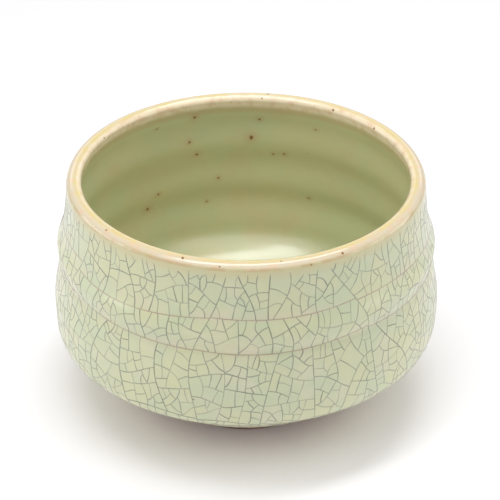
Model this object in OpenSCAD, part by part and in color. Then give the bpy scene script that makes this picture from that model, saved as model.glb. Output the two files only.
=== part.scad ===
// Matcha bowl: a thrown stoneware tea bowl that stands on a trimmed foot ring.
// Three glaze coats lie on the clay: crackled celadon outside, plain celadon
// inside and an amber coat over the lip. The foot is bare clay.
// Millimetres. Origin: centre of the foot's underside. +Z is up.

/* [Bowl] */
// Height from the table to the top of the lip
bowl_h = 79; // [75:1:83]
// Outside diameter at the belly, the widest place
belly_d = 122; // [118:1:126]
// Outside diameter of the lip
lip_d = 112; // [108:1:114]

/* [Wall] */
// Thickness of the lip, glaze included
lip_t = 4.8; // [4.8:0.2:6]
// Radius of the lip's soft outer edge
lip_out_r = 2.7; // [2:0.1:2.8]
// Radius of the lip's tighter inner edge
lip_in_r = 1.9; // [1:0.1:1.9]
// Thickness of the wall at the belly, glaze included
wall_t = 6; // [5:0.5:7]
// Height of the inside floor above the table
floor_z = 13; // [12:0.5:15]

/* [Throwing rings] */
// Height of the swell round the shoulder
swell_z = 56.5; // [55:0.5:59]
// How far the shoulder swell stands out
swell_out = 1.1; // [0.4:0.1:1.5]
// Height of the groove under the shoulder swell
groove_z = 51; // [50:0.5:52]
// Depth of that groove
groove_in = 0.45; // [0.2:0.05:0.8]
// Depth below the lip of the first finger ridge on the inside
finger_first = 18.5; // [16:0.5:20]
// Height between one finger ridge and the next
finger_pitch = 15.5; // [13:0.5:17]
// How far the finger ridges stand out from the inside wall
finger_in = 0.55; // [0.1:0.05:0.7]

/* [Foot] */
// Outside diameter of the foot ring
foot_d = 56; // [52:1:60]
// Height of the foot ring, and depth of the well inside it
foot_h = 5.5; // [5:0.5:6]
// Width of the foot ring's wall
foot_w = 5; // [4:0.5:6]
// Radius of the foot ring's worn edges
foot_edge_r = 0.9; // [0.5:0.1:1.5]

/* [Glaze] */
// Thickness of every glaze coat
glaze_t = 0.7; // [0.5:0.1:1]
// Height of the amber coat down the outside of the lip
amber_out = 2; // [1.5:0.5:5]
// Height of the amber coat down the inside of the lip
amber_in = 4.5; // [3:0.5:6]
// Width of the bare clay between the foot ring and the outside glaze
bare_w = 1.5; // [1:0.5:3]

/* [Hidden] */

round_fn = 128;
curve_steps = 4;
edge_steps = 8;

belly_r = belly_d / 2;
lip_r = lip_d / 2;
lip_z = bowl_h - lip_out_r;
lip_in_z = bowl_h - lip_in_r;
foot_r = foot_d / 2;
under_w = belly_r - foot_r;
under_h = 0.29 * bowl_h;
inside_r = belly_r - wall_t;
inside_lip_r = lip_r - lip_t;
inside_h = lip_z - floor_z;

swell_spread = 3.4;
groove_spread = 1.5;
finger_low_z = 22;
finger_fade_h = 8;

stoneware = [0.42, 0.27, 0.19];
celadon = [0.80, 0.84, 0.70];
amber = [0.85, 0.72, 0.45];
celadon_inside = [0.62, 0.62, 0.44];

// Outline of the outside, from the foot up to the lip, without its rings
outside_knots = [
    [foot_r, foot_h],
    [foot_r + 0.18 * under_w, foot_h + 0.055 * under_h],
    [foot_r + 0.35 * under_w, foot_h + 0.17 * under_h],
    [foot_r + 0.58 * under_w, foot_h + 0.42 * under_h],
    [foot_r + 0.79 * under_w, foot_h + 0.66 * under_h],
    [foot_r + 0.93 * under_w, foot_h + 0.81 * under_h],
    [foot_r + 0.985 * under_w, foot_h + 0.935 * under_h],
    [belly_r - 0.05, 0.40 * bowl_h],
    [belly_r - 0.05, 0.49 * bowl_h],
    [belly_r - 1.1, 0.57 * bowl_h],
    [lip_r + 2.4, 0.72 * bowl_h],
    [lip_r + 0.7, 0.86 * bowl_h],
    [lip_r, lip_z]
];

// Outline of the inside, from the lip down to the middle of the floor
inside_knots = [
    [inside_lip_r, lip_in_z],
    [inside_lip_r + 1.4, lip_z - 0.11 * inside_h],
    [inside_r - 1.4, lip_z - 0.31 * inside_h],
    [inside_r - 0.2, lip_z - 0.52 * inside_h],
    [inside_r - 0.5, lip_z - 0.67 * inside_h],
    [0.945 * inside_r, lip_z - 0.80 * inside_h],
    [0.80 * inside_r, lip_z - 0.905 * inside_h],
    [0.55 * inside_r, lip_z - 0.97 * inside_h],
    [0.25 * inside_r, floor_z + 0.2],
    [0, floor_z]
];

// Smooth curve through the knots
function knot(knots, i) = knots[max(0, min(len(knots) - 1, i))];

function curve_point(a, b, c, d, t) =
    0.5 * (2 * b + (c - a) * t + (2 * a - 5 * b + 4 * c - d) * t * t + (3 * b - a - 3 * c + d) * t * t * t);

function smooth_curve(knots) = [
    for (i = [0 : len(knots) - 2], step = [0 : curve_steps - 1])
        curve_point(knot(knots, i - 1), knots[i], knots[i + 1], knot(knots, i + 2), step / curve_steps)
];

// Height of a soft ring that is raised by one unit at its middle
function soft_ring(z, middle, spread) = exp(-pow((z - middle) / spread, 2));

function outside_rings(z) =
    swell_out * soft_ring(z, swell_z, swell_spread) - groove_in * soft_ring(z, groove_z, groove_spread);

// The finger ridges fade out where the wall turns into the floor, and under the lip
function finger_fade(z) = max(0, min(1, (z - finger_low_z) / finger_fade_h, (lip_z - z) / finger_fade_h));

function finger_rings(z) =
    -finger_in * finger_fade(z) * cos(360 * (bowl_h - z - finger_first) / finger_pitch);

outside_curve = [for (p = smooth_curve(outside_knots)) p + [outside_rings(p[1]), 0]];

// Quarter circle that rounds an edge
function rounded_edge(middle, round_r, from_angle) = [
    for (i = [0 : edge_steps])
        let (angle = from_angle + 90 * i / edge_steps)
        middle + round_r * [cos(angle), sin(angle)]
];

// The lip has a narrow flat top between a soft outer edge and a tighter inner edge
lip_curve = concat(
    rounded_edge([lip_r - lip_out_r, lip_z], lip_out_r, 0),
    rounded_edge([inside_lip_r + lip_in_r, lip_in_z], lip_in_r, 90)
);

inside_curve = [
    for (p = concat(smooth_curve(inside_knots), [[0, floor_z]]))
        if (p[1] < lip_in_z - 0.01) p + [finger_rings(p[1]), 0]
];

// The whole glazed surface as one line: up the outside, over the lip, down to the floor's middle
surface = concat(outside_curve, lip_curve, inside_curve);
last = len(surface) - 1;

// The clay's surface lies one glaze coat under the glazed surface
function along(i) = i == 0 ? surface[1] - surface[0] : i == last ? [-1, 0] : surface[i + 1] - surface[i - 1];

function beneath(i) =
    let (way = along(i) / norm(along(i)))
    surface[i] + glaze_t * [-way[1], way[0]];

clay_surface = [for (i = [0 : last]) beneath(i)];

// The three coats are stretches of that line
lip_top = len(outside_curve) + edge_steps;
outer_start = min([for (i = [0 : lip_top]) if (surface[i][0] >= foot_r + bare_w) i]);
outer_end = min([for (i = [0 : lip_top]) if (surface[i][1] >= bowl_h - amber_out) i]);
inner_start = min([for (i = [lip_top : last]) if (surface[i][1] <= bowl_h - amber_in) i]);

module turned(outline) {
    rotate_extrude($fn = round_fn) polygon(outline);
}

module glaze_coat(first, final) {
    over = [for (i = [first : final]) surface[i]];
    under = [for (i = [final : -1 : first]) clay_surface[i]];
    turned(concat(over, under));
}

module clay_body() {
    underside = [[0, foot_h], [foot_r, foot_h]];
    wall = [for (i = [1 : last]) clay_surface[i]];
    color(stoneware) turned(concat(underside, wall));
}

module foot_ring() {
    inner_edge = rounded_edge([foot_r - foot_w + foot_edge_r, foot_edge_r], foot_edge_r, 180);
    outer_edge = rounded_edge([foot_r - foot_edge_r, foot_edge_r], foot_edge_r, 270);
    top = [[foot_r, foot_h], [foot_r - foot_w, foot_h]];
    color(stoneware) turned(concat(inner_edge, outer_edge, top));
}

module outer_glaze() {
    color(celadon) glaze_coat(outer_start, outer_end);
}

module rim_glaze() {
    color(amber) glaze_coat(outer_end, inner_start);
}

module inner_glaze() {
    color(celadon_inside) glaze_coat(inner_start, last);
}

clay_body();
foot_ring();
outer_glaze();
rim_glaze();
inner_glaze();
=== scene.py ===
"""Looks of the matcha bowl: its glazes, throwing rings, crackle, iron spots and foot, and the studio.

The bowl is a turned shape. One outline runs up the outside, over the lip and down to the middle of the
floor. It is bent a little by hand-thrown unevenness, and carries every glaze piece.
Lengths are in metres.
"""

import math
import random

import bpy
import numpy as np
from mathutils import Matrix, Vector


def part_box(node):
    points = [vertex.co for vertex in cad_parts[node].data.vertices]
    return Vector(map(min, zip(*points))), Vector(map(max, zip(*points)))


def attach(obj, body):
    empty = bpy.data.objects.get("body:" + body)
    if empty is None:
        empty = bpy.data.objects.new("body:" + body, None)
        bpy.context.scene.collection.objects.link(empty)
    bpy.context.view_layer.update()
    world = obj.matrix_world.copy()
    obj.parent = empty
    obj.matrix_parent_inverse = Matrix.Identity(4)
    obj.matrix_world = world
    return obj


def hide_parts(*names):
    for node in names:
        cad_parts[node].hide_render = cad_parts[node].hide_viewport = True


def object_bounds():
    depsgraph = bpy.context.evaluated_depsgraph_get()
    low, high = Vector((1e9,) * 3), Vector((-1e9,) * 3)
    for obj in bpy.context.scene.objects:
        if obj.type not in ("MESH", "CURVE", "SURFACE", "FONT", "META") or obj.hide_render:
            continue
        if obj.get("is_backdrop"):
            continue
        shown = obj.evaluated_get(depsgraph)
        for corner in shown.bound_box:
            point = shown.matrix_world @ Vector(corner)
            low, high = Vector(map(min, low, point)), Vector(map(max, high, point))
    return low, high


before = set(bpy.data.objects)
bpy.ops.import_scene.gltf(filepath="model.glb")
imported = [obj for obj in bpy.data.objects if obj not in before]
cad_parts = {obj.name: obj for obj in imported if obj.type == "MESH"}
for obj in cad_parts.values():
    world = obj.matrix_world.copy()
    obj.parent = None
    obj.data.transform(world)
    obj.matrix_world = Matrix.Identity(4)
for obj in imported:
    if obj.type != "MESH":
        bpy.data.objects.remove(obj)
cad_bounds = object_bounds()

MM = 0.001
GLAZE_T = 0.7 * MM
# Width of the bare clay between the foot ring and the outside glaze
BARE_W = 1.6 * MM

# ---------------------------------------------------------------- sizes from the frame

TOP_Z = cad_bounds[1].z
BELLY_R = cad_bounds[1].x
FOOT_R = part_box("foot_ring")[1].x
FOOT_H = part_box("foot_ring")[1].z
AMBER_OUT_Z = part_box("outer_glaze")[1].z
AMBER_IN_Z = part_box("inner_glaze")[1].z
FLOOR_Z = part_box("inner_glaze")[0].z + GLAZE_T
GLAZE_START_R = FOOT_R + BARE_W

# ---------------------------------------------------------------- sizes as in the part's source

LIP_R = 56.0 * MM
LIP_T = 4.8 * MM
LIP_OUT_R = 2.7 * MM
LIP_IN_R = 1.9 * MM
WALL_T = 6.0 * MM
FOOT_W = 5.0 * MM
FOOT_EDGE_R = 0.9 * MM
SWELL_Z, SWELL_OUT, SWELL_SPREAD = 56.5 * MM, 1.1 * MM, 3.4 * MM
GROOVE_Z, GROOVE_IN, GROOVE_SPREAD = 51.0 * MM, 0.45 * MM, 1.5 * MM
FINGER_FIRST, FINGER_PITCH, FINGER_IN = 18.5 * MM, 15.5 * MM, 0.55 * MM
FINGER_LOW_Z, FINGER_FADE_H = 22.0 * MM, 8.0 * MM

UNDER_W = BELLY_R - FOOT_R
UNDER_H = 0.29 * TOP_Z
LIP_Z = TOP_Z - LIP_OUT_R
LIP_IN_Z = TOP_Z - LIP_IN_R
INSIDE_R = BELLY_R - WALL_T
INSIDE_LIP_R = LIP_R - LIP_T
LIP_FLAT_R = (LIP_R - LIP_OUT_R, INSIDE_LIP_R + LIP_IN_R)
LIP_TOP_R = sum(LIP_FLAT_R) / 2
INSIDE_H = LIP_Z - FLOOR_Z

OUTSIDE_KNOTS = [
    (FOOT_R, FOOT_H),
    (FOOT_R + 0.18 * UNDER_W, FOOT_H + 0.055 * UNDER_H),
    (FOOT_R + 0.35 * UNDER_W, FOOT_H + 0.17 * UNDER_H),
    (FOOT_R + 0.58 * UNDER_W, FOOT_H + 0.42 * UNDER_H),
    (FOOT_R + 0.79 * UNDER_W, FOOT_H + 0.66 * UNDER_H),
    (FOOT_R + 0.93 * UNDER_W, FOOT_H + 0.81 * UNDER_H),
    (FOOT_R + 0.985 * UNDER_W, FOOT_H + 0.935 * UNDER_H),
    (BELLY_R - 0.05 * MM, 0.40 * TOP_Z),
    (BELLY_R - 0.05 * MM, 0.49 * TOP_Z),
    (BELLY_R - 1.1 * MM, 0.57 * TOP_Z),
    (LIP_R + 2.4 * MM, 0.72 * TOP_Z),
    (LIP_R + 0.7 * MM, 0.86 * TOP_Z),
    (LIP_R, LIP_Z),
]
INSIDE_KNOTS = [
    (INSIDE_LIP_R, LIP_IN_Z),
    (INSIDE_LIP_R + 1.4 * MM, LIP_Z - 0.11 * INSIDE_H),
    (INSIDE_R - 1.4 * MM, LIP_Z - 0.31 * INSIDE_H),
    (INSIDE_R - 0.2 * MM, LIP_Z - 0.52 * INSIDE_H),
    (INSIDE_R - 0.5 * MM, LIP_Z - 0.67 * INSIDE_H),
    (0.945 * INSIDE_R, LIP_Z - 0.80 * INSIDE_H),
    (0.80 * INSIDE_R, LIP_Z - 0.905 * INSIDE_H),
    (0.55 * INSIDE_R, LIP_Z - 0.97 * INSIDE_H),
    (0.25 * INSIDE_R, FLOOR_Z + 0.2 * MM),
    (0.0, FLOOR_Z),
]

# ---------------------------------------------------------------- the outline

# Points between one knot and the next, and along each rounded edge of the lip
KNOT_STEPS = 24
LIP_EDGE_POINTS = 40


def smooth_curve(knots):
    """Catmull-Rom curve through the knots, without the last knot."""
    points = np.array([knots[0], *knots, knots[-1]])
    t = np.arange(KNOT_STEPS)[:, None] / KNOT_STEPS
    spans = []
    for a, b, c, d in zip(points, points[1:], points[2:], points[3:]):
        span = 2 * b + (c - a) * t
        span = span + (2 * a - 5 * b + 4 * c - d) * t**2
        span = span + (3 * b - a - 3 * c + d) * t**3
        spans.append(0.5 * span)
    return np.concatenate(spans)


def soft_ring(z, middle, spread):
    """A soft ring that stands out by 1 at its middle height."""
    return np.exp(-(((z - middle) / spread) ** 2))


def outline():
    """Radius and height along the glazed surface: foot, outside, lip, inside, middle of the floor."""
    outside = smooth_curve(OUTSIDE_KNOTS)
    arc = np.linspace(0, math.pi / 2, LIP_EDGE_POINTS)
    turn = np.stack([np.cos(arc), np.sin(arc)], 1)
    outer_edge = (LIP_FLAT_R[0], LIP_Z) + LIP_OUT_R * turn
    inner_edge = (LIP_FLAT_R[1], LIP_IN_Z) + LIP_IN_R * turn[::-1] * (-1, 1)
    lip = np.concatenate([outer_edge, [(LIP_TOP_R, TOP_Z)], inner_edge])
    inside = np.concatenate([smooth_curve(INSIDE_KNOTS)[1:], [INSIDE_KNOTS[-1]]])
    z = outside[:, 1]
    swell = SWELL_OUT * soft_ring(z, SWELL_Z, SWELL_SPREAD)
    groove = GROOVE_IN * soft_ring(z, GROOVE_Z, GROOVE_SPREAD)
    outside[:, 0] += swell - groove
    z = inside[:, 1]
    fade = np.clip(np.minimum((z - FINGER_LOW_Z), (LIP_Z - z)) / FINGER_FADE_H, 0, 1)
    inside[:, 0] -= FINGER_IN * fade * np.cos(2 * math.pi * (TOP_Z - z - FINGER_FIRST) / FINGER_PITCH)
    return np.concatenate([outside, lip, inside])


class Outline:
    """The outline by length s along it, with its direction: it places points on or under the glaze."""

    def __init__(self, points):
        self.points = points
        self.s = np.concatenate([[0], np.cumsum(np.hypot(*np.diff(points, axis=0).T))])
        self.length = self.s[-1]
        way = np.gradient(points, self.s, axis=0)
        way[-1] = (-1, 0)
        self.way = way / np.hypot(*way.T)[:, None]

    def at(self, s, depth=0.0):
        """Radius and height at length s, moved under the glaze's surface by depth."""
        r = np.interp(s, self.s, self.points[:, 0])
        z = np.interp(s, self.s, self.points[:, 1])
        way_r = np.interp(s, self.s, self.way[:, 0])
        way_z = np.interp(s, self.s, self.way[:, 1])
        return r - depth * way_z, z + depth * way_r

    def where(self, test):
        """The length at the first point that passes the test."""
        return self.s[np.argmax(test(self.points))]


LINE = Outline(outline())
S_LIP_TOP = LINE.s[np.argmax(LINE.points[:, 1])]
S_GLAZE_START = LINE.where(lambda p: p[:, 0] >= GLAZE_START_R)
S_AMBER_OUT = LINE.where(lambda p: p[:, 1] >= AMBER_OUT_Z)
S_AMBER_IN = LINE.where(lambda p: (LINE.s > S_LIP_TOP) & (p[:, 1] <= AMBER_IN_Z))

# ---------------------------------------------------------------- hand-thrown unevenness

# How the wall is out of round, as an oval and as a triangle: number of bulges, size in millimetres,
# where they start, and how they twist up the bowl. Its ripples are also in millimetres
BULGES = [(2, 0.16, 0.7, 1.3), (3, 0.10, 2.1, -2.0)]
RIPPLES = 0.07
# The wall is truer within this distance of the foot and of the axis
TRUE_NEAR = 20 * MM
# The lip dips by this much, fading out down to a height
LIP_DIP = 0.10 * MM
DIP_START_Z, DIP_H = 0.7 * TOP_Z, 0.3 * TOP_Z


def wobble(angle, z):
    """How far the wall stands out of the true circle, at an angle and a height. The foot is true."""
    up = z / TOP_Z
    sway = sum(size * np.sin(n * angle + start + twist * up) for n, size, start, twist in BULGES)
    ripples = RIPPLES * np.sin(5 * angle + 9.0 * up) * np.sin(14.0 * up + 0.6)
    return (sway + ripples) * MM * np.clip((z - FOOT_H) / TRUE_NEAR, 0, 1)


def place(angle, r, z):
    """Points at an angle, radius and height, with the wall's unevenness. The lip dips a little, too."""
    grown = r + wobble(angle, z) * np.clip(r / TRUE_NEAR, 0, 1)
    dip = LIP_DIP * np.sin(2 * angle + 1.0) * np.clip((z - DIP_START_Z) / DIP_H, 0, 1)
    return np.stack([grown * np.cos(angle), grown * np.sin(angle), z + dip], -1)


# ---------------------------------------------------------------- mesh building

# A row nearer to the axis than this becomes one point
AXIS_R = 1e-7
# Rows of a glaze coat's hidden side, which lies on the clay
HIDDEN_ROWS = 24


def new_piece(name, verts, faces, node, material, sharp_degrees=40):
    """A smooth-shaded mesh piece that rides on the bowl, stands for a CAD node, and has a finish."""
    mesh = bpy.data.meshes.new(name)
    mesh.from_pydata([tuple(v) for v in verts], [], faces)
    mesh.update()
    for polygon in mesh.polygons:
        polygon.use_smooth = True
    mesh.set_sharp_from_angle(angle=math.radians(sharp_degrees))
    mesh.materials.append(material)
    piece = bpy.data.objects.new(name, mesh)
    bpy.context.scene.collection.objects.link(piece)
    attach(piece, "root")
    if node:
        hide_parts(node)
    return piece


def turned(rows, columns):
    """Vertices and faces of a closed loop of (radius, height) rows turned round the axis.

    A row on the axis becomes one point.
    """
    angles = np.arange(columns) * 2 * math.pi / columns
    verts, starts = [], []
    for r, z in rows:
        starts.append(len(verts))
        if r < AXIS_R:
            verts.append((0.0, 0.0, z))
        else:
            verts.extend(place(angles, np.full(columns, r), np.full(columns, z)))
    faces = []
    for i, (start, (r, _)) in enumerate(zip(starts, rows)):
        following = (i + 1) % len(rows)
        after, r_after = starts[following], rows[following][0]
        if r < AXIS_R and r_after < AXIS_R:
            continue
        for k in range(columns):
            n = (k + 1) % columns
            if r < AXIS_R:
                faces.append((start, after + n, after + k))
            elif r_after < AXIS_R:
                faces.append((start + k, start + n, after))
            else:
                faces.append((start + k, start + n, after + n, after + k))
    return np.array(verts), faces


def surface_lengths(s_from, s_to, pitch):
    """Even steps along the outline."""
    return np.linspace(s_from, s_to, max(2, round((s_to - s_from) / pitch)))


def coat_rows(s_from, s_to, pitch):
    """Rows of a glaze coat: its surface from one length to the other, and back under it on the clay."""
    shown = surface_lengths(s_from, s_to, pitch)
    hidden = np.linspace(s_to, s_from, HIDDEN_ROWS)
    rows = list(zip(*LINE.at(shown))) + list(zip(*LINE.at(hidden, GLAZE_T)))
    if s_to >= LINE.length:
        rows[len(shown) - 1] = (0.0, rows[len(shown) - 1][1])
        rows[len(shown)] = (0.0, rows[len(shown)][1])
    return rows


# ---------------------------------------------------------------- crackle network

CRACKLE_SEED = 5
CRACKLE_TOP_Z = TOP_Z - 2.3 * MM
MAP_STEPS = 900
# Area at which a cell stops cracking, and how much that differs from cell to cell
CELL_AREA, CELL_AREA_SPREAD = 19.0 * MM * MM, 0.42
CRACK_STEP = 0.9 * MM

# Each crack has a level: the long ones first, then those along the rings, then later and later ones
LONG_LEVEL, RING_LEVEL, FIRST_LEVEL = 1, 2, 3

# Long cracks: how many, and how far they stray, lean and bend, in radians round the bowl
LONG_CRACKS = 7
LONG_STRAY, LONG_LEAN, LONG_BEND = 0.14, 0.14, 0.16
# Their waves: size, how fast they turn on the way down, and how they differ from crack to crack
LONG_WAVES = [(0.05, 6, 2), (0.025, 15, 5)]

# Cracks along the rings: height, and the share of the cells there that crack
RING_CRACKS = [(62.0 * MM, 0.8), (51.3 * MM, 1.0), (14.0 * MM, 0.6)]
RING_STRAY, RING_TILT, RING_BEND, RING_SQUARE = 0.010, 0.035, 0.02, 0.1

# Chance cracks cross a cell's longer axis. Cells near the lip count as wider, so they end up taller
CELL_STRETCH = 1.35
TOP_STRETCH, TOP_STRETCH_H = 0.7, 7.0 * MM
# From this ratio of length to width a cell is long, and its crack tilts less. A crack may lie farther
# off the middle of a longer cell, up to the second ratio
LONG_CELL, LONGEST_COUNTED = 1.35, 3
LONG_CELL_TILT, SHORT_CELL_TILT = 0.18, 0.5
OFF_MIDDLE = 0.22
# How squarely a crack meets older ones, least and most, and how much it bends: less after LATE_LEVEL
SQUARE_TURN = (0.5, 1.0)
LATE_LEVEL = 5
EARLY_BEND, LATE_BEND = 0.14, 0.10
# The neatest of some tries is kept, if both parts have at least this share of the cell
CUT_TRIES = 6
SMALLEST_PART = 0.16
# A crack that would leave its cell is tried again with less and less bend
BEND_EASES = (1.0, 0.6, 0.3, 0.0)
# Stand-ins for zero where it would be divided by, and how far ahead an edge must be to be met
NO_RISE, NO_TURN, NO_SPREAD = 1e-12, 1e-15, 1e-12
JUST_AHEAD = 1e-9

# Ribbons along the cracks: how unevenly they end under the lip, their steps, and their keel's depth
UNEVEN_TOP = 1.4 * MM
STEP_ACROSS, STEP_UPWARD = 0.9 * MM, 0.5 * MM
KEEL_DEPTH = 0.15 * MM
# Each ribbon is lifted by up to this much more, so that no two faces share a plane where they meet
LIFT_STEP = 0.004 * MM
# Their width as a share of the group's: its mean and its waves, and how an open end narrows
WIDTH_MEAN, WIDTH_WAVE = 0.88, 0.18
END_POINTS, END_WIDTH = 3, 0.12


class GlazeMap:
    """A flat, shape-keeping map of the outside: angle across, and w down from the crackle's top."""

    def __init__(self, s_top, s_bottom):
        self.s = np.linspace(s_top, s_bottom, MAP_STEPS)
        r, self.z = LINE.at(self.s)
        steps = -np.diff(self.s) / ((r[1:] + r[:-1]) / 2)
        self.w = np.concatenate([[0], np.cumsum(steps)])
        self.r = r
        self.depth = self.w[-1]

    def length(self, w):
        """Lengths along the outline, from w."""
        return np.interp(w, self.w, self.s)

    def radius(self, w):
        """The wall's radius, from w."""
        return float(np.interp(w, self.w, self.r))

    def down_to(self, z):
        """The w at a height."""
        return float(self.w[np.argmax(self.z <= z)])

    def down(self, s):
        """The w at lengths along the outline."""
        return np.interp(-np.asarray(s), -self.s, self.w, left=-1, right=self.depth + 1)


def area_and_middle(cell):
    """A cell's area and its centre of area."""
    x, y = cell.T
    x_next, y_next = np.roll(x, -1), np.roll(y, -1)
    cross = x * y_next - x_next * y
    area = cross.sum() / 2
    moments = np.array([((x + x_next) * cross).sum(), ((y + y_next) * cross).sum()])
    return abs(area), moments / (6 * area)


def within(cell, points):
    """Which points lie inside the cell."""
    x, y = cell.T
    x_next, y_next = np.roll(x, -1), np.roll(y, -1)
    px, py = points[:, 0][:, None], points[:, 1][:, None]
    spans = (y_next > py) != (y > py)
    rise = np.where(y_next == y, NO_RISE, y_next - y)
    crossing = (x_next - x) * (py - y) / rise + x
    return np.sum(spans & (px < crossing), axis=1) % 2 == 1


def long_way(cell, stretched):
    """Direction of a cell's longer axis, and how much longer it is, once its width is stretched."""
    nxt = np.roll(cell, -1, axis=0)
    weight = np.hypot(*(nxt - cell).T)
    middle = (cell + nxt) / 2
    stretch = np.array([stretched, 1.0])
    spread = (middle - np.average(middle, axis=0, weights=weight)) * stretch
    values, vectors = np.linalg.eigh((spread * weight[:, None]).T @ spread / weight.sum())
    way = vectors[:, 1] / stretch
    return way / np.hypot(*way), math.sqrt(values[1] / max(values[0], NO_SPREAD))


def first_edge(cell, point, way):
    """The nearest edge from a point along a way: its index, where it is met, and its direction."""
    edge = np.roll(cell, -1, axis=0) - cell
    gap = cell - point
    turn = way[0] * edge[:, 1] - way[1] * edge[:, 0]
    turn = np.where(turn == 0, NO_TURN, turn)
    ahead = (gap[:, 0] * edge[:, 1] - gap[:, 1] * edge[:, 0]) / turn
    along = (gap[:, 0] * way[1] - gap[:, 1] * way[0]) / turn
    ahead = np.where((ahead > JUST_AHEAD) & (along >= 0) & (along <= 1), ahead, np.inf)
    i = int(np.argmin(ahead))
    if not np.isfinite(ahead[i]):
        return None
    return i, point + way * ahead[i], edge[i] / np.hypot(*edge[i])


def leaving(edge, toward, square):
    """The way a crack leaves an edge: towards its other end, turned to be squarer to the edge."""
    normal = np.array([-edge[1], edge[0]])
    normal = normal if normal @ toward > 0 else -normal
    way = toward * (1 - square) + normal * square
    return way / np.hypot(*way)


def crack_path(start, end, square, bend, step):
    """A curved crack from one met edge to another."""
    chord = end[1] - start[1]
    span = np.hypot(*chord)
    straight = chord / span
    aside = np.array([-straight[1], straight[0]]) * bend * span
    out = start[1] + leaving(start[2], straight, square) * span / 3 + aside
    back = end[1] + leaving(end[2], -straight, square) * span / 3 + aside
    t = np.linspace(0, 1, max(2, math.ceil(span / step)) + 1)[:, None]
    path = (1 - t) ** 3 * start[1] + 3 * (1 - t) ** 2 * t * out
    path = path + 3 * (1 - t) * t**2 * back
    return path + t**3 * end[1]


def boundary(cell, after, upto):
    """A cell's corners after one edge, up to and with another edge's first corner."""
    count = (upto - after) % len(cell) or len(cell)
    return [cell[(after + k) % len(cell)] for k in range(1, count + 1)]


def split(cell, point, way, square, bend, step):
    """Cracks a cell through a point: the two new cells and the crack, or None."""
    start, end = first_edge(cell, point, -way), first_edge(cell, point, way)
    if start is None or end is None or start[0] == end[0]:
        return None
    for ease in BEND_EASES:
        path = crack_path(start, end, square * ease, bend * ease, step)
        if within(cell, path[1:-1]).all():
            one = np.array(boundary(cell, start[0], end[0]) + list(path[::-1]))
            two = np.array(boundary(cell, end[0], start[0]) + list(path))
            return one, two, path
    return None


def long_cracks(flat, rng):
    """The first cracks, which wander from the lip down to the foot."""
    t = np.linspace(0, 1, round(flat.depth * BELLY_R / CRACK_STEP))
    for k in range(LONG_CRACKS):
        middle = 2 * math.pi * k / LONG_CRACKS + rng.uniform(-LONG_STRAY, LONG_STRAY)
        lean = rng.uniform(-LONG_LEAN, LONG_LEAN)
        bend = rng.uniform(-LONG_BEND, LONG_BEND)
        wander = sum(size * np.sin(turn * t + shift * k) for size, turn, shift in LONG_WAVES)
        angle = middle + lean * (2 * t - 1) + bend * np.sin(math.pi * t) + wander
        yield np.stack([angle, flat.depth * t], 1)


def crack_along_rings(flat, rng, cells, cracks):
    """Cracks that follow the thrown rings, where the glaze is thin."""
    for z, share in RING_CRACKS:
        w = flat.down_to(z)
        kept = []
        for cell in cells:
            lowest, highest = cell[:, 1].min(), cell[:, 1].max()
            middle_angle = (cell[:, 0].min() + cell[:, 0].max()) / 2
            point = np.array([middle_angle, w + rng.gauss(0, RING_STRAY)])
            way = np.array([1.0, rng.gauss(0, RING_TILT)])
            bend = rng.gauss(0, RING_BEND)
            cuts = lowest < w < highest and rng.random() < share
            step = CRACK_STEP / flat.radius(w)
            made = split(cell, point, way, RING_SQUARE, bend, step) if cuts else None
            if made:
                kept += made[:2]
                cracks.append((made[2], RING_LEVEL))
            else:
                kept.append(cell)
        cells = kept
    return cells


def neatness(cell):
    """How compact a cell is: high for a square or a short oblong, low for a sliver or a thin wedge."""
    around = np.hypot(*(np.roll(cell, -1, axis=0) - cell).T).sum()
    return area_and_middle(cell)[0] / around**2


def try_cut(cell, area, middle, level, step, rng):
    """One chance crack across a cell's longer axis, or None if a part would be too small."""
    stretch = CELL_STRETCH + TOP_STRETCH * math.exp(-middle[1] * BELLY_R / TOP_STRETCH_H)
    way, longer = long_way(cell, stretch)
    tilt = LONG_CELL_TILT if longer > LONG_CELL else SHORT_CELL_TILT
    across = math.atan2(way[1], way[0]) + math.pi / 2 + rng.gauss(0, tilt)
    off = rng.uniform(-OFF_MIDDLE, OFF_MIDDLE)
    point = middle + way * off * math.sqrt(area) * min(longer, LONGEST_COUNTED)
    square = rng.uniform(*SQUARE_TURN)
    bend = rng.gauss(0, LATE_BEND if level > LATE_LEVEL else EARLY_BEND)
    if not within(cell, point[None])[0]:
        return None
    made = split(cell, point, np.array([math.cos(across), math.sin(across)]), square, bend, step)
    if made and min(area_and_middle(part)[0] for part in made[:2]) > SMALLEST_PART * area:
        return made
    return None


def crackle(flat):
    """Splits the glaze until its cells are small. Returns the cells, and (crack, level) pairs."""
    rng = random.Random(CRACKLE_SEED)
    lines = list(long_cracks(flat, rng))
    cracks = [(line, LONG_LEVEL) for line in lines]
    strips = []
    for k, line in enumerate(lines):
        after = lines[(k + 1) % LONG_CRACKS]
        turn = 2 * math.pi if k == LONG_CRACKS - 1 else 0
        strips.append(np.concatenate([line[::-1], after + [turn, 0]]))
    todo = [(cell, FIRST_LEVEL) for cell in crack_along_rings(flat, rng, strips, cracks)]
    cells = []
    while todo:
        cell, level = todo.pop()
        area, middle = area_and_middle(cell)
        radius = flat.radius(middle[1])
        smallest = CELL_AREA * math.exp(rng.gauss(0, CELL_AREA_SPREAD))
        made, best = None, 0.0
        for _ in range(CUT_TRIES if area * radius**2 > smallest else 0):
            tried = try_cut(cell, area, middle, level, CRACK_STEP / radius, rng)
            neat = min(neatness(part) for part in tried[:2]) if tried else 0
            if neat > best:
                made, best = tried, neat
        if made:
            todo += [(made[0], level + 1), (made[1], level + 1)]
            cracks.append((made[2], level))
        else:
            cells.append(cell)
    return cells, cracks


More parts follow.
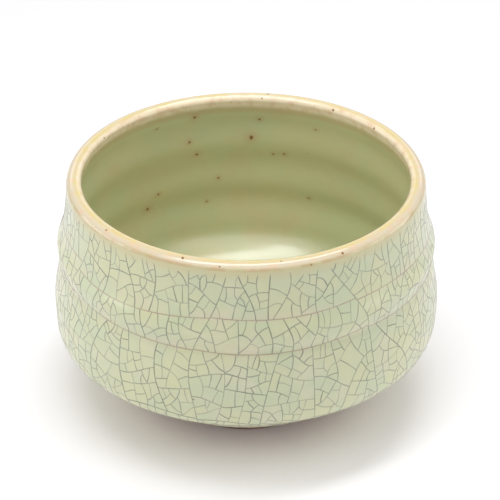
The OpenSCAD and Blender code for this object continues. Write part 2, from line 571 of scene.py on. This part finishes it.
def resampled(path, flat):
    """A crack's angles and lengths along the outline, closer together where it runs upward."""
    s = flat.length(path[:, 1])
    r = np.interp(path[:, 1], flat.w, flat.r)
    across = np.abs(np.diff(path[:, 0])) * (r[1:] + r[:-1]) / 2
    upward = np.abs(np.diff(s))
    need = np.concatenate([[0], np.cumsum(across / STEP_ACROSS + upward / STEP_UPWARD)])
    count = max(2, math.ceil(need[-1]) + 1)
    at = np.linspace(0, need[-1], count)
    return np.interp(at, need, path[:, 0]), np.interp(at, need, s)


def ribbon(angle, s, width, lift):
    """A thin closed wedge along a crack: flat on the glaze, with its keel sunk into it."""
    middle = place(angle, *LINE.at(s, -lift))
    keel = place(angle, *LINE.at(s, KEEL_DEPTH))
    along = np.gradient(middle, axis=0)
    side = np.cross(middle - keel, along)
    side *= (width / 2 / np.linalg.norm(side, axis=1))[:, None]
    return np.stack([middle - side, middle + side, keel], 1)


def ribbon_faces(start, count):
    """Faces of one ribbon: its two ends and three strips."""
    last = start + 3 * (count - 1)
    faces = [(start, start + 1, start + 2), (last + 2, last + 1, last)]
    for i in range(start, last, 3):
        faces += [(i, i + 3, i + 4, i + 1), (i + 1, i + 4, i + 5, i + 2), (i + 2, i + 5, i + 3, i)]
    return faces


def crack_widths(count, widest, rng, fades):
    """Width along a crack: it swells and thins a little, and fades out at an open end."""
    phase, waves = rng.uniform(0, 6.3), rng.uniform(0.4, 1.2)
    t = np.arange(count)
    width = widest * (WIDTH_MEAN + WIDTH_WAVE * np.sin(phase + waves * t * 0.5))
    for end in fades:
        width *= np.clip((np.abs(t - end * (count - 1)) + 0.4) / END_POINTS, END_WIDTH, 1)
    return width


def crackle_mesh(paths, flat, widest, lift, rng):
    """Vertices and faces of all the ribbons of one group of cracks."""
    verts, faces, start = [], [], 0
    for path in paths:
        angle, s = resampled(path, flat)
        highest = flat.length(rng.uniform(0, UNEVEN_TOP) / BELLY_R)
        kept = np.nonzero(s <= highest)[0]
        kept = kept[: np.argmax(np.append(np.diff(kept) > 1, True)) + 1]
        if len(kept) < 3:
            continue
        open_ends = [end for end, at in ((0, kept[0]), (1, kept[-1])) if s[at] > highest - STEP_UPWARD]
        angle, s = angle[kept], s[kept]
        width = crack_widths(len(s), widest, rng, open_ends)
        verts.append(ribbon(angle, s, width, lift + rng.uniform(0, LIFT_STEP)).reshape(-1, 3))
        faces += ribbon_faces(start, len(s))
        start += 3 * len(s)
    return np.concatenate(verts), faces


def cell_tones(cells, flat, shown_s, columns, rng):
    """A tone for each vertex of the outside glaze: one value for all of a cell."""
    w = flat.down(shown_s)
    tones = np.zeros((len(shown_s), columns))
    step = 2 * math.pi / columns
    for cell in cells:
        tone = rng.gauss(0, 1)
        low, high = cell.min(0), cell.max(0)
        rows = np.nonzero((w >= low[1]) & (w <= high[1]))[0]
        cols = np.arange(math.ceil(low[0] / step), math.floor(high[0] / step) + 1)
        if not len(rows) or not len(cols):
            continue
        grid = np.stack(np.meshgrid(cols * step, w[rows]), -1).reshape(-1, 2)
        hit = within(cell, grid).reshape(len(rows), len(cols))
        r_at, c_at = np.nonzero(hit)
        tones[rows[r_at], cols[c_at] % columns] = tone
    return tones


# ---------------------------------------------------------------- material building


def srgb(red, green, blue):
    """A colour as seen on a screen, 0 to 255, as linear light."""
    def linear(c):
        return c / 12.92 if c <= 0.04045 else ((c + 0.055) / 1.055) ** 2.4

    return (linear(red / 255), linear(green / 255), linear(blue / 255), 1.0)


# Sockets of a Mix node that blends colours
MIX_SHARE, MIX_ONE, MIX_TWO = 0, 6, 7


class Finish:
    """A node material under construction: short calls that add a node and return its output."""

    def __init__(self, name, **plain):
        self.material = bpy.data.materials.new(name)
        self.material.use_nodes = True
        self.nodes = self.material.node_tree.nodes
        self.links = self.material.node_tree.links
        self.shader = self.nodes["Principled BSDF"]
        for socket, value in plain.items():
            self.shader.inputs[socket.replace("_", " ")].default_value = value
        self.point = self.nodes.new("ShaderNodeTexCoord").outputs["Object"]
        self.x, self.y, self.z = self.node("ShaderNodeSeparateXYZ", {"Vector": self.point})[:]

    def feed(self, socket, value):
        """Links another node's output to a socket, or sets the socket's own value."""
        if isinstance(value, bpy.types.NodeSocket):
            self.links.new(value, socket)
        else:
            socket.default_value = value

    def node(self, kind, sockets, **settings):
        """Adds a node of a kind, and returns its outputs."""
        made = self.nodes.new(kind)
        for key, value in settings.items():
            setattr(made, key, value)
        for key, value in sockets.items():
            self.feed(made.inputs[key], value)
        return made.outputs

    def maths(self, operation, a, b=0.0):
        """One operation on two numbers."""
        return self.node("ShaderNodeMath", {0: a, 1: b}, operation=operation)[0]

    def span(self, value, low, high, out_low=0.0, out_high=1.0):
        """Soft step from out_low to out_high as the value goes from low to high."""
        sockets = {"Value": value, "From Min": low, "From Max": high}
        sockets.update({"To Min": out_low, "To Max": out_high})
        return self.node("ShaderNodeMapRange", sockets, interpolation_type="SMOOTHSTEP")[0]

    def ring(self, middle, spread):
        """1 at a height, falling softly to 0 above and below it."""
        off = self.maths("ABSOLUTE", self.maths("SUBTRACT", self.z, middle))
        return self.span(off, 0.0, spread, 1.0, 0.0)

    def noise(self, size, detail=3.0, roughness=0.5):
        """Cloudy noise, whose clouds are about the given size."""
        sockets = {"Vector": self.point, "Scale": 1 / size, "Detail": detail, "Roughness": roughness}
        return self.node("ShaderNodeTexNoise", sockets)[0]

    def mix(self, share, one, two):
        """A blend of two colours: the share is how much of the second one shows."""
        sockets = {MIX_SHARE: share, MIX_ONE: one, MIX_TWO: two}
        return self.node("ShaderNodeMix", sockets, data_type="RGBA")[2]

    def attribute(self, name):
        """A number that the mesh carries at each vertex."""
        return self.node("ShaderNodeAttribute", {}, attribute_name=name)["Fac"]

    def specks(self, spacing, size, share):
        """1 in small scattered dots: one in each cell of the given spacing, and only a share kept."""
        voronoi = self.node("ShaderNodeTexVoronoi", {"Vector": self.point, "Scale": 1 / spacing})
        dot = self.span(voronoi["Distance"], 0.4 * size / spacing, size / spacing, 1.0, 0.0)
        pick = self.node("ShaderNodeSeparateColor", {"Color": voronoi["Color"]})[0]
        return self.maths("MULTIPLY", dot, self.maths("LESS_THAN", pick, share))

    def bump(self, height, depth):
        """Adds fine relief of the given depth, in metres, for a height that runs from 0 to 1."""
        normal = self.node("ShaderNodeBump", {"Height": height, "Distance": depth, "Strength": 1.0})[0]
        self.links.new(normal, self.shader.inputs["Normal"])

    def finish(self, colour, roughness):
        """Gives the shader its colour and roughness, and returns the finished material."""
        self.feed(self.shader.inputs["Base Color"], colour)
        self.feed(self.shader.inputs["Roughness"], roughness)
        return self.material


# ---------------------------------------------------------------- finishes

# Heights between which celadon turns to amber, outside and inside the lip
BEIGE_FADE = (73.0 * MM, 76.9 * MM)
AMBER_FADE_OUT = (77.0 * MM, 78.5 * MM)
AMBER_FADE_IN = (73.6 * MM, 76.1 * MM)
# Heights between which the thin, pinker glaze near the foot fades out
PINK_FADE = (12.2 * MM, 14.8 * MM)
# Height, and spread, of the painted bounce light on the slope over the foot: the glaze is painted much
# lighter there, as if lit from the floor
PAINTED_BOUNCE_Z, PAINTED_BOUNCE_SPREAD = 14.0 * MM, 10.0 * MM
# Height and spread of the two rings where the glaze is thin and pinker, at the groove and over the swell
THIN_GROOVE = (51.5 * MM, 3.2 * MM)
THIN_SWELL = (62.3 * MM, 2.4 * MM)
# Height and spread of the brown line under the amber outside, and of the brown fringe under it inside
BROWN_LINE = (AMBER_OUT_Z + 0.1 * MM, 0.8 * MM)
BROWN_FRINGE = (73.7 * MM, 2.2 * MM)
FRINGE_SHARE = 0.4
# Radius of the honey line, how far from it the honey colour is still full, and where it ends
CROWN_R, HONEY_FULL, HONEY_END = LIP_TOP_R - 0.1 * MM, 0.3 * MM, 1.4 * MM
# Over this width inward of the crown the cream turns to rose cream, which is lightened as a painted
# highlight
ROSE_AND_HIGHLIGHT_FADE = 1.2 * MM
CELADON_YELLOW = srgb(200, 201, 161)
CELADON_GREEN = srgb(190, 198, 164)
CELADON_BEIGE = srgb(206, 201, 174)
# Near-white celadon of the painted bounce light over the foot
CELADON_PAINTED_BOUNCE = srgb(244, 246, 214)
RING_PINK = srgb(207, 194, 173)
AMBER = srgb(208, 190, 132)
AMBER_PALE = srgb(205, 192, 166)
# Rose cream of the lip's inner side: the glaze's own tint, lightened as a painted highlight along the
# inner edge
AMBER_ROSE_AND_HIGHLIGHT = srgb(232, 216, 187)
AMBER_BLUSH = srgb(216, 184, 150)
AMBER_BROWN = srgb(182, 142, 98)
AMBER_BEIGE = srgb(197, 188, 145)
OLIVE = srgb(196, 193, 147)
OLIVE_GREEN = srgb(189, 194, 149)
OLIVE_BROWN = srgb(197, 184, 141)
IRON = srgb(130, 94, 58)
CLAY = srgb(150, 112, 84)
CLAY_DARK = srgb(104, 72, 52)
CLAY_RED = srgb(158, 106, 76)
FOOT_PINK = srgb(228, 205, 177)


def celadon_clouds(f, tone):
    """Pale celadon, yellower or greener in patches and by cell, beige in places and under the lip."""
    greener = f.span(f.maths("ADD", tone, f.noise(14 * MM, 4)), 0.30, 0.72)
    beige = f.span(f.noise(9 * MM, 3), 0.50, 0.72, 0.0, 0.5)
    base = f.mix(beige, f.mix(greener, CELADON_GREEN, CELADON_YELLOW), CELADON_BEIGE)
    return f.mix(f.span(uneven_height(f), *BEIGE_FADE, 0.0, 0.8), base, AMBER_BEIGE)


def olive_clouds(f):
    """The deeper celadon inside, browner in patches."""
    base = f.mix(f.span(f.noise(22 * MM, 3), 0.35, 0.65), OLIVE_GREEN, OLIVE)
    return f.mix(f.span(f.noise(12 * MM, 4), 0.5, 0.75, 0.0, 0.6), base, OLIVE_BROWN)


def amber_clouds(f, radius):
    """Cream, rosier inside and lightened there as a painted highlight along the inner edge, blushed in
    places, with a patchy honey yellow line along the crown.
    """
    off = f.maths("ABSOLUTE", f.maths("SUBTRACT", radius, CROWN_R))
    strength = f.span(f.noise(5 * MM, 4), 0.35, 0.65, 0.35, 1.0)
    cream = f.mix(f.span(radius, CROWN_R - ROSE_AND_HIGHLIGHT_FADE, CROWN_R), AMBER_ROSE_AND_HIGHLIGHT, AMBER_PALE)
    cream = f.mix(f.span(f.noise(3 * MM, 4), 0.45, 0.68, 0.0, 0.6), cream, AMBER_BLUSH)
    honey = f.maths("MULTIPLY", f.span(off, HONEY_FULL, HONEY_END, 1.0, 0.0), strength)
    return f.mix(honey, cream, AMBER)


def brown_line(f):
    """How much the clay's iron shows through under the amber's outer edge: more in some places."""
    patchy = f.span(f.noise(4 * MM, 3), 0.38, 0.64, 0.12, 0.5)
    return f.maths("MULTIPLY", f.ring(*BROWN_LINE), patchy)


def uneven_height(f):
    """Height, shifted a little from place to place, so that a colour's edge wanders."""
    return f.maths("ADD", f.z, f.span(f.noise(7 * MM, 2), 0.3, 0.7, -0.3 * MM, 0.3 * MM))


def outside_celadon():
    """Pale crackled celadon: a tone for each cell, pinker where it is thin, amber near the lip, and much
    lighter over the foot as painted bounce light.
    """
    f = Finish("outside_celadon", IOR=1.5, Coat_Weight=0.5, Coat_Roughness=0.15)
    base = celadon_clouds(f, f.maths("MULTIPLY", f.attribute("cell_tone"), 0.05))
    thin = f.maths("MAXIMUM", f.ring(*THIN_GROOVE), f.ring(*THIN_SWELL))
    patchy = f.span(f.noise(11 * MM, 2), 0.40, 0.66, 0.05, 0.4)
    base = f.mix(f.maths("MULTIPLY", thin, patchy), base, RING_PINK)
    # Painted bounce light: the slope over the foot is made much lighter
    base = f.mix(f.ring(PAINTED_BOUNCE_Z, PAINTED_BOUNCE_SPREAD), base, CELADON_PAINTED_BOUNCE)
    base = f.mix(f.span(uneven_height(f), *AMBER_FADE_OUT), base, AMBER_PALE)
    base = f.mix(brown_line(f), base, AMBER_BROWN)
    near_foot = f.span(uneven_height(f), *PINK_FADE, 0.9, 0.0)
    worn = f.span(f.noise(6 * MM, 3), 0.38, 0.62, 0.45, 1.0)
    base = f.mix(f.maths("MULTIPLY", near_foot, worn), base, FOOT_PINK)
    base = f.mix(f.specks(7 * MM, 0.35 * MM, 0.12), base, AMBER_BROWN)
    f.bump(f.noise(1.6 * MM, 3), 0.012 * MM)
    return f.finish(base, f.span(f.noise(4 * MM, 3), 0.3, 0.7, 0.28, 0.37))


def amber_lip():
    """Glossy honey glaze, which turns to celadon outside and inside."""
    f = Finish("amber_lip", IOR=1.5, Coat_Weight=0.3, Coat_Roughness=0.05, Specular_IOR_Level=0.4)
    radius = f.maths("SQRT", f.maths("ADD", f.maths("POWER", f.x, 2.0), f.maths("POWER", f.y, 2.0)))
    inner = f.span(radius, LIP_TOP_R - 0.5 * MM, LIP_TOP_R + 0.5 * MM, 1.0, 0.0)
    height = uneven_height(f)
    honey = amber_clouds(f, radius)
    outside = f.mix(f.span(height, *AMBER_FADE_OUT), celadon_clouds(f, 0.0), honey)
    outside = f.mix(brown_line(f), outside, AMBER_BROWN)
    inside = f.mix(f.span(height, *AMBER_FADE_IN), olive_clouds(f), honey)
    inside = f.mix(f.maths("MULTIPLY", f.ring(*BROWN_FRINGE), FRINGE_SHARE), inside, AMBER_BROWN)
    base = f.mix(inner, outside, inside)
    base = f.mix(f.specks(5 * MM, 0.4 * MM, 0.15), base, AMBER_BROWN)
    f.bump(f.noise(2.2 * MM, 3), 0.012 * MM)
    return f.finish(base, f.span(f.noise(5 * MM, 2), 0.3, 0.7, 0.10, 0.17))


def inside_celadon():
    """Plain olive celadon with brown iron specks, and a brown halo round each iron spot."""
    f = Finish("inside_celadon", IOR=1.5, Coat_Weight=1.0, Coat_Roughness=0.2)
    # Near the lip the inside turns to the rose cream, which is partly a painted highlight
    base = f.mix(f.span(uneven_height(f), *AMBER_FADE_IN), olive_clouds(f), AMBER_ROSE_AND_HIGHLIGHT)
    base = f.mix(f.maths("MULTIPLY", f.ring(*BROWN_FRINGE), FRINGE_SHARE), base, AMBER_BROWN)
    base = f.mix(f.maths("MULTIPLY", f.attribute("iron_halo"), 0.55), base, AMBER_BROWN)
    base = f.mix(f.specks(4 * MM, 0.3 * MM, 0.25), base, AMBER_BROWN)
    f.bump(f.noise(2.0 * MM, 3), 0.012 * MM)
    return f.finish(base, f.span(f.noise(6 * MM, 3), 0.3, 0.7, 0.28, 0.36))


def bare_clay(name, colour, dark):
    """Rough fired clay: cloudy brown with fine grit and dark specks."""
    f = Finish(name, IOR=1.45)
    grit = f.noise(0.7 * MM, 5, roughness=0.65)
    base = f.mix(f.span(f.noise(7 * MM, 4), 0.35, 0.65), dark, colour)
    base = f.mix(f.specks(1.6 * MM, 0.25 * MM, 0.3), base, CLAY_DARK)
    f.bump(grit, 0.10 * MM)
    return f.finish(base, f.span(grit, 0.3, 0.7, 0.72, 0.9))


def crack_stain(name, colour):
    """Stain that has soaked into the crackle lines."""
    f = Finish(name, IOR=1.5, Coat_Weight=0.5, Coat_Roughness=0.15)
    fleck = f.noise(0.5 * MM, 3)
    f.bump(fleck, 0.01 * MM)
    return f.finish(colour, f.span(fleck, 0.3, 0.7, 0.28, 0.4))


def iron_spot():
    """Iron that has boiled up through the glaze: a dark brown spot with a rough skin."""
    f = Finish("iron_spot", IOR=1.5, Coat_Weight=0.2, Coat_Roughness=0.15)
    fleck = f.noise(0.4 * MM, 3)
    f.bump(fleck, 0.03 * MM)
    return f.finish(IRON, f.span(fleck, 0.3, 0.7, 0.3, 0.5))


# ---------------------------------------------------------------- glaze pieces

# Columns round the bowl, and steps along its outline
OUTSIDE_COLUMNS, INSIDE_COLUMNS = 384, 256
OUTSIDE_PITCH, LIP_PITCH, INSIDE_PITCH = 0.52 * MM, 0.3 * MM, 0.6 * MM
# Over this length the outside glaze rounds down to the clay, almost through its thickness
GLAZE_EDGE, EDGE_SUNK = 1.2 * MM, 0.98
# Reach of an iron spot's brown halo, in widths of the spot
HALO_REACH = 1.5
TONE_SEED = 11


def add_point_values(piece, name, values):
    """A number for each vertex, which the material reads. Vertices past the values' end keep 0."""
    column = np.zeros(len(piece.data.vertices), dtype=np.float32)
    column[: values.size] = values.ravel()
    piece.data.attributes.new(name, "FLOAT", "POINT").data.foreach_set("value", column)


def outside_glaze(flat, cells):
    """The outside coat, with a rounded lower edge, and a tone for each cell of its crackle."""
    rows = coat_rows(S_GLAZE_START, S_AMBER_OUT, OUTSIDE_PITCH)
    shown_s = surface_lengths(S_GLAZE_START, S_AMBER_OUT, OUTSIDE_PITCH)
    from_edge = 1 - np.clip((shown_s - S_GLAZE_START) / GLAZE_EDGE, 0, 1)
    sunk = GLAZE_T * (1 - np.sqrt(1 - from_edge**2))
    rows[: len(shown_s)] = list(zip(*LINE.at(shown_s, EDGE_SUNK * sunk)))
    verts, faces = turned(rows, OUTSIDE_COLUMNS)
    finish = outside_celadon()
    piece = new_piece("outside_glaze", verts, faces, "outer_glaze", finish)
    tones = cell_tones(cells, flat, shown_s, OUTSIDE_COLUMNS, random.Random(TONE_SEED))
    add_point_values(piece, "cell_tone", tones)


def lip_glaze():
    """The amber coat over the lip."""
    verts, faces = turned(coat_rows(S_AMBER_OUT, S_AMBER_IN, LIP_PITCH), OUTSIDE_COLUMNS)
    new_piece("lip_glaze", verts, faces, "rim_glaze", amber_lip())


def inside_glaze(spots):
    """The inside coat, which knows where the iron spots are."""
    rows = coat_rows(S_AMBER_IN, LINE.length, INSIDE_PITCH)
    verts, faces = turned(rows, INSIDE_COLUMNS)
    finish = inside_celadon()
    piece = new_piece("inside_glaze", verts, faces, "inner_glaze", finish)
    halo = np.zeros(len(verts))
    for middle, size in spots:
        halo += np.exp(-((np.linalg.norm(verts - middle, axis=1) / (HALO_REACH * size)) ** 2))
    add_point_values(piece, "iron_halo", np.clip(halo, 0, 1))


# ---------------------------------------------------------------- crackle pieces

# Colour of each group of cracks, their width, and how far they stand off the glaze
CRACK_GROUPS = {
    "crackle_dark": (srgb(136, 140, 120), 0.35 * MM, 0.030 * MM),
    "crackle_grey": (srgb(148, 152, 130), 0.32 * MM, 0.024 * MM),
    "crackle_pale": (srgb(164, 166, 142), 0.29 * MM, 0.018 * MM),
    "crackle_ring": (srgb(172, 154, 136), 0.30 * MM, 0.036 * MM),
}
# Draws under these make an early crack dark, and a late one dark or grey
EARLY_DARK = 0.35
LATE_DARK, LATE_GREY = 0.10, 0.70
GROUP_SEED = 23


def crack_group(level, rng):
    """The piece that a crack goes into: older cracks have taken up more stain."""
    if level == RING_LEVEL:
        return "crackle_ring"
    draw = rng.random()
    if level <= LATE_LEVEL:
        return "crackle_dark" if draw < EARLY_DARK else "crackle_grey"
    if draw < LATE_DARK:
        return "crackle_dark"
    return "crackle_grey" if draw < LATE_GREY else "crackle_pale"


def crackle_pieces(flat, cracks):
    """The cracks as ribbons, in one piece for each group."""
    rng = random.Random(GROUP_SEED)
    groups = {name: [] for name in CRACK_GROUPS}
    for path, level in cracks:
        groups[crack_group(level, rng)].append(path)
    for name, (colour, width, lift) in CRACK_GROUPS.items():
        verts, faces = crackle_mesh(groups[name], flat, width, lift, rng)
        new_piece(name, verts, faces, None, crack_stain(name, colour))


# ---------------------------------------------------------------- iron spots

# Height in mm, angle in degrees from +X, and width in mm, on the inside wall
INSIDE_SPOTS = [
    (62.5, 88, 1.5),
    (72.0, 109, 1.1),
    (62.5, 111, 0.8),
    (57.0, 108, 1.0),
    (69.5, 85, 0.8),
    (46.5, 100, 0.7),
    (44.5, 123, 0.8),
    (39.5, 127, 1.1),
    (37.0, 104, 0.6),
    (68.0, 64, 0.6),
    (56.0, 80, 0.7),
    (56.5, 76, 0.8),
    (70.5, 124, 0.6),
    (40.0, 67, 0.7),
]
# How far round the lip's arc from outside (0) to inside (1), angle, and width
LIP_SPOTS = [
    (0.39, 250, 1.0),
    (0.25, 301, 0.8),
    (0.25, 262, 0.5),
    (0.44, 281, 0.5),
    (0.14, 290, 0.5),
    (0.35, 220, 0.6),
    (0.86, 56, 0.8),
    (0.90, 36, 0.7),
    (0.90, 152, 0.6),
    (0.50, 82, 0.8),
    (0.84, 84, 0.5),
]
# Height in mm, angle, and width, on the outside wall
OUTSIDE_SPOTS = [(55.0, 322, 0.6), (34.0, 255, 0.5), (44.0, 152, 0.7), (60.0, 60, 0.7), (30.0, 96, 0.6)]
SPOT_SEED = 31
SPOT_SIDES = 12
# How much a spot's radius differs from place to place, as a share of it
SPOT_UNEVEN = 0.25
# How far a spot's middle stands out, its rim's share of that, and how deep it goes
SPOT_LIFT, RIM_SHARE, SPOT_DEPTH = 0.035 * MM, 0.3, 0.2 * MM
SPOT_SHARP_DEGREES = 60


def spot_lengths():
    """Where each spot lies: angle, length along the outline, and width."""
    inside = LINE.s >= S_AMBER_IN - 2 * MM
    for z, degrees, width in INSIDE_SPOTS:
        s = np.interp(-z * MM, -LINE.points[inside, 1], LINE.s[inside])
        yield math.radians(degrees), s, width * MM
    for share, degrees, width in LIP_SPOTS:
        s = S_LIP_TOP + (share - 0.5) * math.pi * (LIP_OUT_R if share < 0.5 else LIP_IN_R)
        yield math.radians(degrees), s, width * MM
    outside = LINE.s <= S_AMBER_OUT
    for z, degrees, width in OUTSIDE_SPOTS:
        s = np.interp(z * MM, LINE.points[outside, 1], LINE.s[outside])
        yield math.radians(degrees), s, width * MM


def spot_mesh(angle, s, width, start, rng):
    """A thin uneven lens: a raised middle, a rim just proud of the glaze, and a point under it."""
    turn = np.arange(SPOT_SIDES) * 2 * math.pi / SPOT_SIDES
    reach = width / 2 * (1 + np.array([rng.uniform(-SPOT_UNEVEN, SPOT_UNEVEN) for _ in turn]))
    r_here = float(LINE.at(s)[0])
    rim_s = s + reach * np.sin(turn)
    rim_angle = angle + reach * np.cos(turn) / r_here
    rim = place(rim_angle, *LINE.at(rim_s, -RIM_SHARE * SPOT_LIFT))
    top = place(np.array([angle]), *LINE.at(np.array([s]), -SPOT_LIFT))
    under = place(np.array([angle]), *LINE.at(np.array([s]), SPOT_DEPTH))
    verts = np.concatenate([rim, top, under])
    faces = []
    for k in range(SPOT_SIDES):
        n = (k + 1) % SPOT_SIDES
        faces.append((start + k, start + n, start + SPOT_SIDES))
        faces.append((start + n, start + k, start + SPOT_SIDES + 1))
    return verts, faces


def iron_spots():
    """Builds the spots, and returns where they are and how wide."""
    rng = random.Random(SPOT_SEED)
    verts, faces, found = [], [], []
    for angle, s, width in spot_lengths():
        made, made_faces = spot_mesh(angle, s, width, sum(len(v) for v in verts), rng)
        verts.append(made)
        faces += made_faces
        found.append((made[SPOT_SIDES], width))
    verts = np.concatenate(verts)
    new_piece("iron_spots", verts, faces, None, iron_spot(), SPOT_SHARP_DEGREES)
    return found


# ---------------------------------------------------------------- clay pieces

# Columns round the bowl, and rows of the foot's well, of the clay under the glaze and of the foot ring
CLAY_COLUMNS, FOOT_COLUMNS = 160, 256
WELL_ROWS, BURIED_ROWS = 70, 260
EDGE_POINTS, WALL_ROWS = 8, 8
# The clay under the glaze starts this far along the outline
BURIED_FROM = 0.6 * MM
WELL_R = FOOT_R - FOOT_W
# The trimming spiral fades out at the well's edge and at its middle, where a low nub is left
TRIM_PITCH, TRIM_DEPTH = 2.4 * MM, 0.12 * MM
TRIM_EDGE_FADE, TRIM_MIDDLE_FADE = 1.5 * MM, 2 * MM
NUB_R, NUB_H = 5.0 * MM, 0.9 * MM
# The foot ring's straight walls start this far over its rounded edges
EDGE_GAP = 0.6 * MM


def clay_body():
    """The pot itself: it shows in the foot's well, which has a spiral trimming mark and a low nub."""
    well = [(r, FOOT_H) for r in np.linspace(0, WELL_R, WELL_ROWS)]
    under = [(FOOT_R, FOOT_H)]
    buried = list(zip(*LINE.at(np.linspace(BURIED_FROM, LINE.length, BURIED_ROWS), GLAZE_T)))
    buried[-1] = (0.0, buried[-1][1])
    verts, faces = turned(well + under + buried, CLAY_COLUMNS)
    r = np.hypot(verts[:, 0], verts[:, 1])
    angle = np.arctan2(verts[:, 1], verts[:, 0])
    in_well = (np.abs(verts[:, 2] - FOOT_H) < 1e-6) & (r < WELL_R - 0.1 * MM)
    fade = np.clip((WELL_R - r) / TRIM_EDGE_FADE, 0, 1) * np.clip(r / TRIM_MIDDLE_FADE, 0, 1)
    spiral = TRIM_DEPTH * np.sin(2 * math.pi * r / TRIM_PITCH - angle) * fade
    nub = NUB_H * np.exp(-((r / NUB_R) ** 4))
    verts[in_well, 2] += (spiral - nub)[in_well]
    finish = bare_clay("stoneware", CLAY, CLAY_DARK)
    new_piece("clay_pot", verts, faces, "clay_body", finish)


def corner(r, z, start_degrees):
    """Quarter circle round one of the foot ring's edges."""
    a = np.radians(start_degrees + np.linspace(0, 90, EDGE_POINTS))
    return list(zip(r + FOOT_EDGE_R * np.cos(a), z + FOOT_EDGE_R * np.sin(a)))


def foot_ring():
    """The ring that the bowl stands on, with worn edges."""
    inner = corner(WELL_R + FOOT_EDGE_R, FOOT_EDGE_R, 180)
    outer = corner(FOOT_R - FOOT_EDGE_R, FOOT_EDGE_R, 270)
    wall_z = np.linspace(FOOT_EDGE_R + EDGE_GAP, FOOT_H, WALL_ROWS)
    wall = [(FOOT_R, z) for z in wall_z]
    inner_wall = [(WELL_R, z) for z in wall_z[::-1]]
    verts, faces = turned(inner + outer + wall + inner_wall, FOOT_COLUMNS)
    finish = bare_clay("foot_clay", CLAY_RED, CLAY_DARK)
    new_piece("foot", verts, faces, "foot_ring", finish)


# ---------------------------------------------------------------- stage, lights and camera

# Distance and rise of the camera from a point in the bowl, and how far beside that point it aims
VIEW_DISTANCE = 0.700
VIEW_RISE = math.radians(32.16)
VIEW_CENTRE = Vector((0, 0, TOP_Z - 38 * MM))
AIM_RIGHT, AIM_UP = 1.3 * MM, 7.95 * MM
LENS = 157.0
CLOSEST_SEEN = 10 * MM
WORLD_BRIGHTNESS = 0.43
FLOOR_HALF = 6.0
FLOOR_COLOUR = (0.925, 0.91, 0.93, 1.0)

# Soft lights that all face the bowl: name, place, width, depth, and how bright the face is
LIGHTS = [
    ("overhead", (-0.006, 0.01, 0.65), 0.66, 0.19, 7.2),
    ("front_top", (0.0, -0.34, 0.62), 1.1, 0.42, 1.2),
    ("left_strip", (-0.95, 0.0, 0.22), 0.8, 0.3, 3.0),
    ("right_strip", (0.95, 0.0, 0.22), 0.8, 0.3, 2.5),
    ("back_strip", (0.0, 1.3, 0.6), 1.8, 0.25, 1.2),
]


def aim(thing, target):
    """Turns a camera or light to face a point."""
    thing.rotation_euler = (target - thing.location).to_track_quat("-Z", "Y").to_euler()


def add_camera():
    """The camera looks down at the bowl from the front."""
    camera = bpy.data.objects.new("camera", bpy.data.cameras.new("camera"))
    bpy.context.scene.collection.objects.link(camera)
    camera.data.lens = LENS
    camera.data.clip_start = CLOSEST_SEEN
    toward_camera = Vector((0, -math.cos(VIEW_RISE), math.sin(VIEW_RISE)))
    camera.location = VIEW_CENTRE + VIEW_DISTANCE * toward_camera
    up = Vector((0, math.sin(VIEW_RISE), math.cos(VIEW_RISE)))
    aim(camera, VIEW_CENTRE + AIM_UP * up + AIM_RIGHT * Vector((1, 0, 0)))
    bpy.context.scene.camera = camera


def add_softbox(name, place_at, width, depth, brightness):
    """A soft light that faces the bowl. Its power follows from its size and how bright its face is."""
    light = bpy.data.lights.new(name, "AREA")
    light.shape = "RECTANGLE"
    light.size, light.size_y = width, depth
    light.energy = math.pi * width * depth * brightness
    lamp = bpy.data.objects.new(name, light)
    bpy.context.scene.collection.objects.link(lamp)
    lamp.location = Vector(place_at)
    lamp.visible_camera = False
    aim(lamp, Vector((0, 0, TOP_Z / 2)))


def add_floor():
    """A wide pale floor, which belongs to the stage and not to the bowl."""
    mesh = bpy.data.meshes.new("floor")
    corners = [(x * FLOOR_HALF, y * FLOOR_HALF, 0) for x, y in ((-1, -1), (1, -1), (1, 1), (-1, 1))]
    mesh.from_pydata(corners, [], [(0, 1, 2, 3)])
    mesh.materials.append(Finish("floor", IOR=1.3).finish(FLOOR_COLOUR, 0.9))
    floor = bpy.data.objects.new("floor", mesh)
    bpy.context.scene.collection.objects.link(floor)
    floor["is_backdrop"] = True


def add_world(brightness):
    """Even white light from all round."""
    world = bpy.data.worlds.new("studio")
    world.use_nodes = True
    background = world.node_tree.nodes["Background"]
    background.inputs["Color"].default_value = (1.0, 1.0, 1.0, 1.0)
    background.inputs["Strength"].default_value = brightness
    bpy.context.scene.world = world


# ---------------------------------------------------------------- the scene


def main():
    """Builds the studio, and then the bowl."""
    bpy.context.scene.view_settings.view_transform = "Standard"
    add_camera()
    add_world(WORLD_BRIGHTNESS)
    for light in LIGHTS:
        add_softbox(*light)
    add_floor()
    s_crackle_top = LINE.where(lambda p: p[:, 1] >= CRACKLE_TOP_Z)
    flat = GlazeMap(s_crackle_top, S_GLAZE_START + GLAZE_EDGE)
    cells, cracks = crackle(flat)
    clay_body()
    foot_ring()
    outside_glaze(flat, cells)
    lip_glaze()
    inside_glaze(iron_spots())
    crackle_pieces(flat, cracks)


main()

boxes = {"cad": cad_bounds, "visual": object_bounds()}
{name: [list(corner_at) for corner_at in box] for name, box in boxes.items()}
